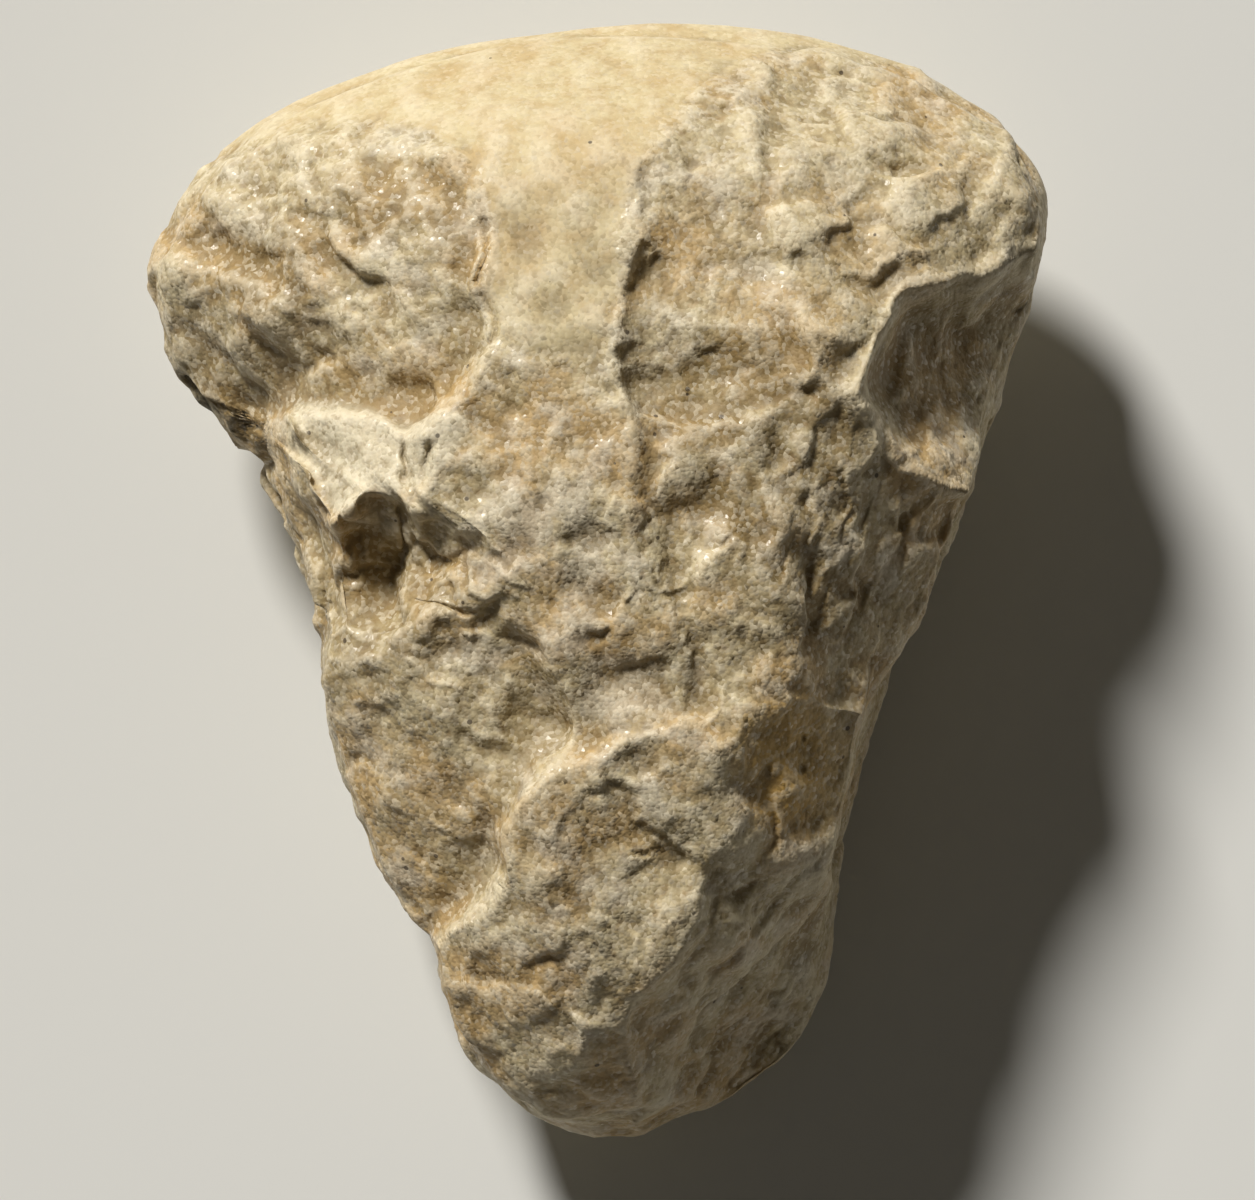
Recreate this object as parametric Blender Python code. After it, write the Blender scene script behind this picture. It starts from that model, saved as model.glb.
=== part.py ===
"""A pebble axe: a river cobble of quartzite, flaked by hand to a blunt pointed end.

The stone lies on its back with its worked face up. +Z is up, +Y runs from the pointed tip to the
rounded butt, +X is to the right when you look down on the worked face. The origin is on the
surface that it lies on, under the middle of its box. Lengths are in metres.
"""

import math
from typing import NamedTuple

import bmesh
import bpy
import numpy as np
from mathutils import Vector, noise

# Driving dimensions of the stone.
LENGTH = 0.108
WIDTH = 0.0873
THICKNESS = 0.046
FLAT_SPOT_DEPTH = 0.0007

MM = 0.001

# Places on the stone are (across, along), in per cent of its half width and half length.
# The widest outline of the stone, clockwise from the top of the butt.
OUTLINE = [
    (29, 100), (56, 96), (78, 89), (94, 78), (100, 66), (96, 53), (92, 42), (86, 25),
    (78, 9), (71, -7), (63, -21), (58, -36), (53, -53), (51, -68), (48, -79), (36, -91),
    (16, -98), (-4, -100), (-20, -94), (-32, -81), (-36, -68), (-39, -62), (-44, -58),
    (-54, -42), (-60, -24), (-62, -17), (-61, -12), (-66, 2), (-74, 18), (-79, 26),
    (-90, 33), (-98, 46), (-100, 53), (-96, 63), (-83, 78), (-50, 92), (-8, 99),
]

# The edge of the worked face, where it turns down into the side walls.
FACE_EDGE = [
    (30, 96), (58, 92), (79, 85), (92, 75), (97, 65), (94, 55), (89, 42), (82, 22),
    (77, 9), (72, -3), (65, -13), (58, -23), (54, -37), (50, -51), (45, -61), (41, -73),
    (37, -80), (26, -91), (4, -95), (-8, -97), (-20, -92), (-31, -80), (-35, -67),
    (-43, -57), (-53, -41), (-59, -23), (-60, -14), (-59, -8), (-63, 2), (-71, 18),
    (-76, 27), (-87, 35), (-95, 47), (-97, 54), (-93, 62), (-80, 76), (-48, 90), (-8, 97),
]

# By compass direction in degrees (0 is to the right, 90 is the butt): the height of the widest
# outline as a share of the thickness, and how far the worked face falls at its edge, in mm.
OUTLINE_HEIGHT = [
    (-90, 0.27), (-60, 0.24), (-30, 0.28), (0, 0.30), (30, 0.36), (60, 0.42), (90, 0.46),
    (120, 0.44), (150, 0.38), (180, 0.34), (215, 0.32), (245, 0.30),
]
EDGE_FALL_MM = [
    (-90, 8), (-60, 9), (-30, 8), (0, 9), (30, 9), (60, 12), (90, 14), (120, 13), (150, 11),
    (180, 8), (215, 8), (245, 7),
]
EDGE_FALL_REACH_MM = 17
EDGE_FALL_CURVE = 2.2

# Height of the worked face along its crest from tip to butt, as shares of the thickness.
CREST_HEIGHT = [(-100, 0.68), (-70, 0.82), (-30, 0.94), (10, 1.0), (45, 0.99), (75, 0.92), (100, 0.84)]
ACROSS_FALL_MM = 4.0


class Scar(NamedTuple):
    """The hollow left by a flake: its outline, and its depth at the middle of that outline.

    It deepens towards one compass direction by so many mm in every 10 mm. The edge run is how
    far inside the outline the stone has come most of the way down to the floor. On the side
    where the scar fades out it is several times as far.
    """

    name: str
    outline: list
    depth_mm: float
    deepens_mm: float
    towards_deg: float
    edge_run_mm: float
    fades_deg: float


SCARS = [
    Scar("left shoulder",
         [(-87, 73), (-66, 79), (-50, 80), (-37, 78), (-27, 71), (-25, 66), (-26, 56),
          (-27, 49), (-25, 43), (-28, 35), (-33, 30), (-40, 25), (-44, 27), (-50, 28), (-60, 28),
          (-69, 30), (-73, 23), (-78, 13), (-86, 6), (-104, 8), (-106, 52), (-99, 67)],
         6.0, 3.0, 220, 0.8, 128),
    Scar("upper side of the spur",
         [(-74, 42), (-57, 40), (-47, 36), (-40, 29), (-34, 21), (-38, 15), (-43, 16),
          (-48, 16), (-53, 12), (-58, 10), (-63, 17), (-66, 25)], 2.6, 4.2, 105, 0.4, 40),
    Scar("left side of the spur",
         [(-71, 35), (-69, 30), (-66, 24), (-63, 18), (-58, 11), (-54, 4), (-53, -3), (-54, -8),
          (-60, -12), (-72, -12), (-82, 4), (-94, 27), (-80, 33)], 9.0, 8.0, 222, 1.6, 250),
    Scar("hollow under the spur",
         [(-60, 9), (-56, 12), (-48, 16), (-43, 15), (-33, 12), (-25, 6), (-19, 0), (-18, -7),
          (-28, -16), (-42, -19), (-54, -18), (-62, 1)], 7.0, 2.6, 120, 2.0, 300),
    Scar("left flank",
         [(-60, 8), (-48, 9), (-36, 7), (-24, 2), (-15, -6), (-8, -16), (-4, -26),
          (-8, -33), (-15, -35), (-21, -41), (-22, -46), (-17, -51), (-25, -58), (-31, -61),
          (-36, -67), (-46, -70), (-64, -58), (-75, -32), (-75, -14), (-66, -6)],
         3.5, 1.0, 320, 0.8, 50),
    Scar("lower right facet",
         [(21, -50), (36, -49), (49, -51), (63, -53), (68, -75), (55, -100), (23, -110),
          (9, -104), (9, -93), (5, -86), (7, -75), (15, -68), (23, -57)],
         13.0, 1.0, 300, 6.0, 118),
    Scar("right notch",
         [(58, 27), (57, 34), (59, 41), (63, 47), (68, 50), (78, 52), (86, 54), (97, 56),
          (114, 56), (114, 10), (92, 2), (75, 8), (66, 14), (60, 20)], 9.5, 6.6, 78, 1.7, 255),
    Scar("right shoulder",
         [(33, 87), (39, 92), (49, 94), (61, 92), (78, 85), (90, 75), (96, 66), (95, 57), (86, 54),
          (78, 50), (68, 46), (63, 42), (59, 36), (49, 33), (41, 44), (33, 66)],
         2.0, 0.7, 240, 1.6, 215),
    Scar("beside the tongue",
         [(9, 74), (8, 62), (5, 47), (2, 39), (5, 30), (20, 26), (38, 28), (48, 38),
          (46, 51), (40, 69), (33, 85), (21, 83)], 1.6, 0.3, 180, 0.8, 0),
    Scar("middle",
         [(9, 31), (21, 38), (36, 34), (37, 18), (26, 5), (21, 2), (18, -1), (15, -2), (9, 1),
          (7, 15)], 1.1, 0.7, 270, 1.8, 60),
    Scar("right flank",
         [(34, 37), (52, 36), (60, 30), (66, 24), (78, 20), (92, 11), (86, -12), (72, -28),
          (58, -26), (42, -16), (33, 2), (31, 20)], 3.2, 1.9, 335, 2.4, 170),
    Scar("smooth quartz patch",
         [(25, -22), (41, -16), (54, -18), (66, -32), (62, -46), (45, -48), (32, -44),
          (25, -35)], 1.3, 1.8, 0, 3.0, 120),
    Scar("above the tip lobe",
         [(-12, -33), (-8, -33), (1, -31), (6, -28), (14, -26), (21, -27), (29, -24), (22, -8),
          (4, -4), (-10, -9), (-18, -22)], 1.5, 1.0, 255, 1.0, 80),
]
FADING_ADDS_RUNS = 4.0

# Pairs of size and spacing in mm: how the scars' edges wander, and the roughness of the face.
EDGE_SWAY_MM = [(1.1, 6), (0.5, 2.5)]
FACE_ROUGHNESS_MM = [(0.6, 11), (0.6, 4.5)]

# The widest outline stays at least this far below the worked face. A wall curve below 1 makes a
# wall steepest at its foot.
RIM_CLEARANCE_MM = 1.5
WALL_CURVE = 0.6

# The side walls are dented by about this much. The widest outline below them is not.
WALL_DENT_MM = 1.1
WALL_DENT_SPACING_MM = 9
WALL_DENT_FADES_MM = 4

# The natural back is a rounded bowl: flat in the middle, steep at the widest outline.
BACK_MIDDLE_CURVE = 2.2
BACK_EDGE_CURVE = 0.6

OUTLINE_SIDES = 120
SKIN_SUBDIVISIONS = 7
SKIN_TRIANGLES = 9400
FACE_SHARE_OF_SPHERE_DEG = 105.0


def to_metres(places):
    """(across, along) in per cent of the half width and half length, as points in metres."""
    return np.array(places, float) * (WIDTH / 200, LENGTH / 200)


def smooth_round(angles, values, at):
    """A smooth closed curve through values at angles (radians), read at other angles."""
    order = np.argsort(angles % math.tau)
    a, v = (angles % math.tau)[order], values[order]
    a = np.concatenate([a[-2:] - math.tau, a, a[:2] + math.tau])
    v = np.concatenate([v[-2:], v, v[:2]])
    slope = np.gradient(v, a)
    i = np.clip(np.searchsorted(a, at % math.tau, side="right") - 1, 0, len(a) - 2)
    gap = a[i + 1] - a[i]
    t = (at % math.tau - a[i]) / gap
    return (
        (1 + 2 * t) * (1 - t) ** 2 * v[i]
        + t * (1 - t) ** 2 * gap * slope[i]
        + t * t * (3 - 2 * t) * v[i + 1]
        - t * t * (1 - t) * gap * slope[i + 1]
    )


def reach_towards(places, angle):
    """How far a closed outline reaches from the middle, in metres, towards each angle."""
    points = to_metres(places)
    return smooth_round(
        np.arctan2(points[:, 1], points[:, 0]), np.hypot(points[:, 0], points[:, 1]), angle
    )


def read_round(table, angle):
    """A value given by compass direction in degrees, read towards each angle in radians."""
    table = np.array(table, float)
    return smooth_round(np.radians(table[:, 0]), table[:, 1], angle)


def round_outline(places):
    """A closed outline through many points, for one of the two outlines of the whole stone."""
    angle = np.linspace(0, math.tau, OUTLINE_SIDES, endpoint=False)
    reach = reach_towards(places, angle)
    return np.column_stack([reach * np.cos(angle), reach * np.sin(angle)])


def cut_corners(points):
    """A closed outline with its corners cut twice, which rounds it."""
    for _ in range(2):
        following = np.roll(points, -1, axis=0)
        points = np.stack([0.75 * points + 0.25 * following, 0.25 * points + 0.75 * following], 1)
        points = points.reshape(-1, 2)
    return points


def inside_by(outline, x, y):
    """How far each point lies inside a closed outline, in metres; negative outside it."""
    nearest = np.full(len(x), np.inf)
    inside = np.zeros(len(x), bool)
    for (ax, ay), (bx, by) in zip(outline, np.roll(outline, -1, axis=0)):
        ex, ey = bx - ax, by - ay
        t = np.clip(((x - ax) * ex + (y - ay) * ey) / (ex * ex + ey * ey), 0, 1)
        nearest = np.minimum(nearest, np.hypot(x - ax - t * ex, y - ay - t * ey))
        if ey:
            inside ^= ((ay > y) != (by > y)) & (x < ax + (y - ay) * ex / ey)
    return np.where(inside, nearest, -nearest)


def smoothstep(t):
    """Runs from 0 to 1 with a soft start and end."""
    t = np.clip(t, 0, 1)
    return t * t * (3 - 2 * t)


def uneven(x, y, z, spacing_mm):
    """Soft noise through the stone, from -1 to 1, with bumps about so far apart."""
    places = np.column_stack(np.broadcast_arrays(x, y, z)) / (spacing_mm * MM)
    return np.array([noise.noise(Vector(place)) for place in places])


def scar_depth(scar, x, y):
    """How deep one flake scar lies below the cobble's own surface."""
    corners = to_metres(scar.outline)
    middle = corners.mean(axis=0)
    dx, dy = x - middle[0], y - middle[1]
    towards, fades = math.radians(scar.towards_deg), math.radians(scar.fades_deg)
    along = dx * math.cos(towards) + dy * math.sin(towards)
    floor = np.clip(scar.depth_mm * MM + scar.deepens_mm / 10 * along, 0, None)
    half = np.hypot(*(corners - middle).T).mean()
    soft = smoothstep((dx * math.cos(fades) + dy * math.sin(fades)) / half)
    run = scar.edge_run_mm * MM * (1 + FADING_ADDS_RUNS * soft)
    inside = np.clip(inside_by(cut_corners(corners), x, y), 0, None)
    return floor * (1 - np.exp(-inside / run))


def cut_depth(x, y):
    """How far the worked face lies below the cobble's own surface."""
    for sway_mm, spacing_mm in EDGE_SWAY_MM:
        x, y = (
            x + sway_mm * MM * uneven(x, y, 0.02, spacing_mm),
            y + sway_mm * MM * uneven(x, y, 0.05, spacing_mm),
        )
    return np.max([scar_depth(scar, x, y) for scar in SCARS], axis=0)


def face_surface(angle, x, y):
    """Height of the worked face, as if it had no walls."""
    table = np.array(CREST_HEIGHT, float)
    crest = THICKNESS * np.interp(y / (LENGTH / 200), table[:, 0], table[:, 1])
    crest = crest - ACROSS_FALL_MM * MM * (x / (WIDTH / 2)) ** 2
    inside = inside_by(round_outline(FACE_EDGE), x, y) / (EDGE_FALL_REACH_MM * MM)
    fall = MM * read_round(EDGE_FALL_MM, angle) * (1 - np.clip(inside, 0, 1)) ** EDGE_FALL_CURVE
    rough = sum(size * MM * uneven(x, y, 0, spacing) for size, spacing in FACE_ROUGHNESS_MM)
    return crest - fall - cut_depth(x, y) + rough


def rim_height(angle):
    """Height of the widest outline, lower where a scar runs out over it."""
    reach = reach_towards(OUTLINE, angle)
    face = face_surface(angle, reach * np.cos(angle), reach * np.sin(angle))
    return np.minimum(THICKNESS * read_round(OUTLINE_HEIGHT, angle), face - RIM_CLEARANCE_MM * MM)


def face_height(angle, rim, x, y, left):
    """Height of the worked face and of its walls, which run from its edge down to the rim.

    Left is how far each point still is from the widest outline.
    """
    beyond = np.clip(-inside_by(round_outline(FACE_EDGE), x, y), 0, None)
    share = np.divide(left, beyond + left, out=np.zeros(len(x)), where=left > 0)
    return rim + (face_surface(angle, x, y) - rim) * share**WALL_CURVE


def wall_dents(x, y, z, rim):
    """How far the side walls are dented in, between the face's edge and the widest outline."""
    on_wall = smoothstep(-inside_by(round_outline(FACE_EDGE), x, y) / MM)
    above_rim = smoothstep((z - rim) / (WALL_DENT_FADES_MM * MM))
    dents = 0.5 + uneven(x, y, z, WALL_DENT_SPACING_MM)
    return WALL_DENT_MM * MM * on_wall * above_rim * dents


def back_height(share, rim):
    """Height of the cobble's natural back. It bulges below the table where the flat spot is cut."""
    return rim - (rim + FLAT_SPOT_DEPTH) * (1 - share**BACK_MIDDLE_CURVE) ** BACK_EDGE_CURVE


def shape_skin(directions):
    """Moves the points of a unit sphere onto the stone."""
    polar = np.degrees(np.arccos(np.clip(directions[:, 2], -1, 1)))
    angle = np.arctan2(directions[:, 1], directions[:, 0])
    front = polar < FACE_SHARE_OF_SPHERE_DEG
    t = np.where(
        front, polar / FACE_SHARE_OF_SPHERE_DEG, (180 - polar) / (180 - FACE_SHARE_OF_SPHERE_DEG)
    )
    share = np.sin(t * math.pi / 2)
    widest = reach_towards(OUTLINE, angle)
    reach = share * widest
    x, y = reach * np.cos(angle), reach * np.sin(angle)
    rim = rim_height(angle)
    z = np.where(front, face_height(angle, rim, x, y, widest - reach), back_height(share, rim))
    dent = wall_dents(x, y, z, rim)
    return fit_in_box(np.column_stack([x - dent * np.cos(angle), y - dent * np.sin(angle), z]))


def fit_in_box(points):
    """Brings the stone to its exact length, width and thickness."""
    low, high = points.min(axis=0), points.max(axis=0)
    points[:, :2] -= (low + high)[:2] / 2
    return points * (WIDTH / (high - low)[0], LENGTH / (high - low)[1], THICKNESS / high[2])


def make_stone():
    """The stone's closed skin, from a sphere of even triangles."""
    skin = bmesh.new()
    bmesh.ops.create_icosphere(skin, subdivisions=SKIN_SUBDIVISIONS, radius=1.0)
    points = shape_skin(np.array([v.co for v in skin.verts]))
    for vertex, point in zip(skin.verts, points):
        vertex.co = point
    bmesh.ops.recalc_face_normals(skin, faces=skin.faces)
    mesh = bpy.data.meshes.new("pebble_axe")
    skin.to_mesh(mesh)
    skin.free()
    stone = bpy.data.objects.new("pebble_axe", mesh)
    bpy.context.scene.collection.objects.link(stone)
    thin = stone.modifiers.new("even triangles", "DECIMATE")
    thin.ratio = SKIN_TRIANGLES / len(mesh.polygons)
    return stone


def cut_flat_spot(stone):
    """The small flat that the stone lies on, cut by a block under the table."""
    bpy.ops.mesh.primitive_cube_add(size=1, location=(0, 0, -THICKNESS / 2))
    table = bpy.context.object
    table.name = "table_cutter"
    table.scale = (2 * WIDTH, 2 * LENGTH, THICKNESS)
    table.hide_render = True
    table.display_type = "WIRE"
    cut = stone.modifiers.new("flat spot", "BOOLEAN")
    cut.object = table
    cut.operation = "DIFFERENCE"


def quartzite():
    """Weathered quartzite: pale grey-brown, dull."""
    material = bpy.data.materials.new("quartzite")
    material.use_nodes = True
    shader = material.node_tree.nodes["Principled BSDF"]
    shader.inputs["Base Color"].default_value = (0.42, 0.34, 0.22, 1)
    shader.inputs["Roughness"].default_value = 0.75
    shader.inputs["Metallic"].default_value = 0.0
    return material


def main():
    for obj in list(bpy.data.objects):
        bpy.data.objects.remove(obj)
    stone = make_stone()
    stone.data.materials.append(quartzite())
    cut_flat_spot(stone)


main()
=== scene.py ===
# %% [markdown]
# # A pebble axe
# The real object is one river cobble of quartzite, about as long as a palm. Somebody knocked big
# flakes off one face and off both sides, so that a wide rounded butt narrows to a blunt tip. The
# butt and the back kept the smooth skin of the river cobble.
#
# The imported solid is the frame. It already has the outline, the walls and the large flake scars.
# This file makes the same stone again as a fine mesh, works the smaller relief into it, colours
# it, and puts it on a pale floor in the light of one lamp.

# %% The frame
import math
from typing import NamedTuple

import bmesh
import bpy
import numpy as np
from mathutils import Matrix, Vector, noise


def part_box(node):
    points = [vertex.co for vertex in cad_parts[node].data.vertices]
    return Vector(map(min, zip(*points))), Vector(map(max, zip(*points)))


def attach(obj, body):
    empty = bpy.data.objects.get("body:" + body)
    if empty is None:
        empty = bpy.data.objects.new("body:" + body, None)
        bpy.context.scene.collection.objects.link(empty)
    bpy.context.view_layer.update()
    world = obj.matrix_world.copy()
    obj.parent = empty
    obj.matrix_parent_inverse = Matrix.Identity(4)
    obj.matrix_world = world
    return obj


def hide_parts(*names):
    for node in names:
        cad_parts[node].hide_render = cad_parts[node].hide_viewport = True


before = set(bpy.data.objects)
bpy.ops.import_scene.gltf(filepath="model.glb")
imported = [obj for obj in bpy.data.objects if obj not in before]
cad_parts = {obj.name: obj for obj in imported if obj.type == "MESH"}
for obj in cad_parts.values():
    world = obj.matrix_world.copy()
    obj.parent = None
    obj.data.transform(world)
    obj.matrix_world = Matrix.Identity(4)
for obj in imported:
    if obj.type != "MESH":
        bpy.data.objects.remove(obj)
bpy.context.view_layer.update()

MM = 0.001
stone_low, stone_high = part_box("pebble_axe")
WIDTH, LENGTH, THICKNESS = stone_high - stone_low
print(f"the stone is {WIDTH / MM:.1f} x {LENGTH / MM:.1f} x {THICKNESS / MM:.1f} mm")

# %% [markdown]
# ## The camera
# The stone is seen square on to its worked face, so the camera looks straight down at it. A long
# lens from over a metre away keeps the walls from spreading. The scale of the picture is set at
# the height of the stone's widest outline.

# %% The camera
IMAGE_WIDTH_PX, IMAGE_HEIGHT_PX = 1255, 1200
PIXELS_PER_MM = 10.32
STONE_MIDDLE_PX = (597.5, 582.5)
CAMERA_DISTANCE = 1.2
PICTURE_PLANE_HEIGHT = 0.017
SENSOR_WIDTH_MM = 36.0

picture_width = IMAGE_WIDTH_PX / PIXELS_PER_MM * MM
camera_data = bpy.data.cameras.new("camera")
camera_data.sensor_width = SENSOR_WIDTH_MM
camera_data.lens = SENSOR_WIDTH_MM * CAMERA_DISTANCE / picture_width
camera = bpy.data.objects.new("camera", camera_data)
bpy.context.scene.collection.objects.link(camera)
camera.location = (
    (IMAGE_WIDTH_PX / 2 - STONE_MIDDLE_PX[0]) / PIXELS_PER_MM * MM,
    (STONE_MIDDLE_PX[1] - IMAGE_HEIGHT_PX / 2) / PIXELS_PER_MM * MM,
    PICTURE_PLANE_HEIGHT + CAMERA_DISTANCE,
)
bpy.context.scene.camera = camera
print(f"the lens is {camera_data.lens:.0f} mm and the picture {picture_width / MM:.1f} mm wide")

# %% [markdown]
# ## The outlines
# Two closed outlines shape the stone as seen from above: its widest outline, and the edge of the
# worked face, where the face turns down into the side walls. Places are (across, along) in per
# cent of the half width and half length, so they follow the stone's size.

# %% Two outlines
OUTLINE = [
    (29, 100), (56, 96), (78, 89), (94, 78), (100, 66), (96, 53), (92, 42), (86, 25),
    (78, 9), (71, -7), (63, -21), (58, -36), (53, -53), (51, -68), (48, -79), (36, -91),
    (16, -98), (-4, -100), (-20, -94), (-32, -81), (-36, -68), (-39, -62), (-44, -58),
    (-54, -42), (-60, -24), (-62, -17), (-61, -12), (-66, 2), (-74, 18), (-79, 26),
    (-90, 33), (-98, 46), (-100, 53), (-96, 63), (-83, 78), (-50, 92), (-8, 99),
]
FACE_EDGE = [
    (30, 96), (58, 92), (79, 85), (92, 75), (97, 65), (94, 55), (89, 42), (82, 22),
    (77, 9), (72, -3), (65, -13), (58, -23), (54, -37), (50, -51), (45, -61), (41, -73),
    (37, -80), (26, -91), (4, -95), (-8, -97), (-20, -92), (-31, -80), (-35, -67),
    (-43, -57), (-53, -41), (-59, -23), (-60, -14), (-59, -8), (-63, 2), (-71, 18),
    (-76, 27), (-87, 35), (-95, 47), (-97, 54), (-93, 62), (-80, 76), (-48, 90), (-8, 97),
]

print(f"the outline has {len(OUTLINE)} points, the edge of the face {len(FACE_EDGE)}")

# %% [markdown]
# ## Heights
# A view from above says nothing of heights, so they come on their own: how high the widest
# outline lies, how far the worked face falls towards its edge, and how high its crest is. The
# first two go round the stone by compass direction in degrees, where 0 is to the right and 90 is
# the butt. The last one goes from the tip at -100 to the butt at 100.

# %% Heights
OUTLINE_HEIGHT = [
    (-90, 0.27), (-60, 0.24), (-30, 0.28), (0, 0.30), (30, 0.36), (60, 0.42), (90, 0.46),
    (120, 0.44), (150, 0.38), (180, 0.34), (215, 0.32), (245, 0.30),
]
EDGE_FALL_MM = [
    (-90, 8), (-60, 9), (-30, 8), (0, 9), (30, 9), (60, 12), (90, 14), (120, 13), (150, 11),
    (180, 8), (215, 8), (245, 7),
]
EDGE_FALL_REACH_MM = 17
EDGE_FALL_CURVE = 2.2
CREST_HEIGHT = [
    (-100, 0.68), (-70, 0.82), (-30, 0.94), (10, 1.0), (45, 0.99), (75, 0.92), (100, 0.84),
]
ACROSS_FALL_MM = 4.0

highest = max(share for _, share in OUTLINE_HEIGHT) * THICKNESS / MM
print(f"the widest outline lies up to {highest:.0f} mm above the floor")

# %% [markdown]
# ## A smooth curve round the stone
# The few points become a smooth closed curve, so that the outline has no corners. It is read by
# angle: towards any direction it says how far the stone reaches, or what a value given round the
# stone is there. For the tests of inside and outside below it is cut into short sides.

# %% The smooth curve
OUTLINE_SIDES = 120


def to_metres(places):
    """(across, along) in per cent of the half width and half length, as points in metres."""
    return np.array(places, float) * (WIDTH / 200, LENGTH / 200)


def smooth_round(angles, values, at):
    """A smooth closed curve through values at angles (radians), read at other angles."""
    order = np.argsort(angles % math.tau)
    a, v = (angles % math.tau)[order], values[order]
    a = np.concatenate([a[-2:] - math.tau, a, a[:2] + math.tau])
    v = np.concatenate([v[-2:], v, v[:2]])
    slope = np.gradient(v, a)
    i = np.clip(np.searchsorted(a, at % math.tau, side="right") - 1, 0, len(a) - 2)
    gap = a[i + 1] - a[i]
    t = (at % math.tau - a[i]) / gap
    return (
        (1 + 2 * t) * (1 - t) ** 2 * v[i]
        + t * (1 - t) ** 2 * gap * slope[i]
        + t * t * (3 - 2 * t) * v[i + 1]
        - t * t * (1 - t) * gap * slope[i + 1]
    )


def reach_towards(places, angle):
    """How far a closed outline reaches from the middle, in metres, towards each angle."""
    points = to_metres(places)
    return smooth_round(
        np.arctan2(points[:, 1], points[:, 0]), np.hypot(points[:, 0], points[:, 1]), angle
    )


def read_round(table, angle):
    """A value given by compass direction in degrees, read towards each angle in radians."""
    table = np.array(table, float)
    return smooth_round(np.radians(table[:, 0]), table[:, 1], angle)


def round_outline(places):
    """One of the stone's two outlines, as many short sides."""
    angle = np.linspace(0, math.tau, OUTLINE_SIDES, endpoint=False)
    reach = reach_towards(places, angle)
    return np.column_stack([reach * np.cos(angle), reach * np.sin(angle)])


print(f"towards the butt the outline reaches {reach_towards(OUTLINE, math.pi / 2) / MM:.1f} mm")

# %% [markdown]
# ## Inside, outside and uneven
# A flake scar is deep well inside its border and has no depth outside it, so the main tool is the
# distance to a closed outline. A soft step turns it into a share from 0 to 1, and soft noise
# keeps borders and floors from being as even as if drawn.

# %% Distances, steps and noise
def cut_corners(points):
    """A closed outline with its corners cut twice, which rounds it."""
    for _ in range(2):
        following = np.roll(points, -1, axis=0)
        points = np.stack([0.75 * points + 0.25 * following, 0.25 * points + 0.75 * following], 1)
        points = points.reshape(-1, 2)
    return points


def inside_by(outline, x, y):
    """How far each point lies inside a closed outline, in metres; negative outside it."""
    nearest = np.full(len(x), np.inf)
    inside = np.zeros(len(x), bool)
    for (ax, ay), (bx, by) in zip(outline, np.roll(outline, -1, axis=0)):
        ex, ey = bx - ax, by - ay
        t = np.clip(((x - ax) * ex + (y - ay) * ey) / (ex * ex + ey * ey), 0, 1)
        nearest = np.minimum(nearest, np.hypot(x - ax - t * ex, y - ay - t * ey))
        if ey:
            inside ^= ((ay > y) != (by > y)) & (x < ax + (y - ay) * ex / ey)
    return np.where(inside, nearest, -nearest)


def depth_inside(outline, x, y):
    """How far each point lies inside a closed outline, in metres; 0 outside it."""
    (left, low), (right, high) = outline.min(axis=0), outline.max(axis=0)
    near = (x > left) & (x < right) & (y > low) & (y < high)
    depth = np.zeros(len(x))
    depth[near] = np.clip(inside_by(outline, x[near], y[near]), 0, None)
    return depth


def smoothstep(t):
    """Runs from 0 to 1 with a soft start and end."""
    t = np.clip(t, 0, 1)
    return t * t * (3 - 2 * t)


def uneven(x, y, z, spacing_mm):
    """Soft noise through the stone, from -1 to 1, with bumps about so far apart."""
    places = np.column_stack(np.broadcast_arrays(x, y, z)) / (spacing_mm * MM)
    return np.array([noise.noise(place) for place in places])


def swayed(x, y, sways, layers):
    """Places moved a little by noise, so that what is drawn through them isn't straight."""
    for size_mm, spacing_mm in sways:
        off_x, off_y = (size_mm * MM * uneven(x, y, layer, spacing_mm) for layer in layers)
        x, y = x + off_x, y + off_y
    return x, y


to_edge = inside_by(round_outline(FACE_EDGE), np.zeros(1), np.zeros(1))[0]
print(f"the middle of the stone is {to_edge / MM:.0f} mm inside the edge of the face")

# %% [markdown]
# ## The flake scars
# A blow on the edge of a cobble lifts off a flake and leaves a shallow hollow with a crisp border
# on one side, which dies out on the other. Taking the deepest hollow at every point leaves the
# ridges between them by itself. The solid was made like this too, with the same list, but for
# three scars whose borders are softened otherwise here.


# %% The flake scars
class Scar(NamedTuple):
    """A flake's hollow. See `scar_depth` for what the numbers do."""

    name: str
    outline: list
    depth_mm: float
    deepens_mm: float
    towards_deg: float
    edge_run_mm: float
    fades_deg: float


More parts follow.
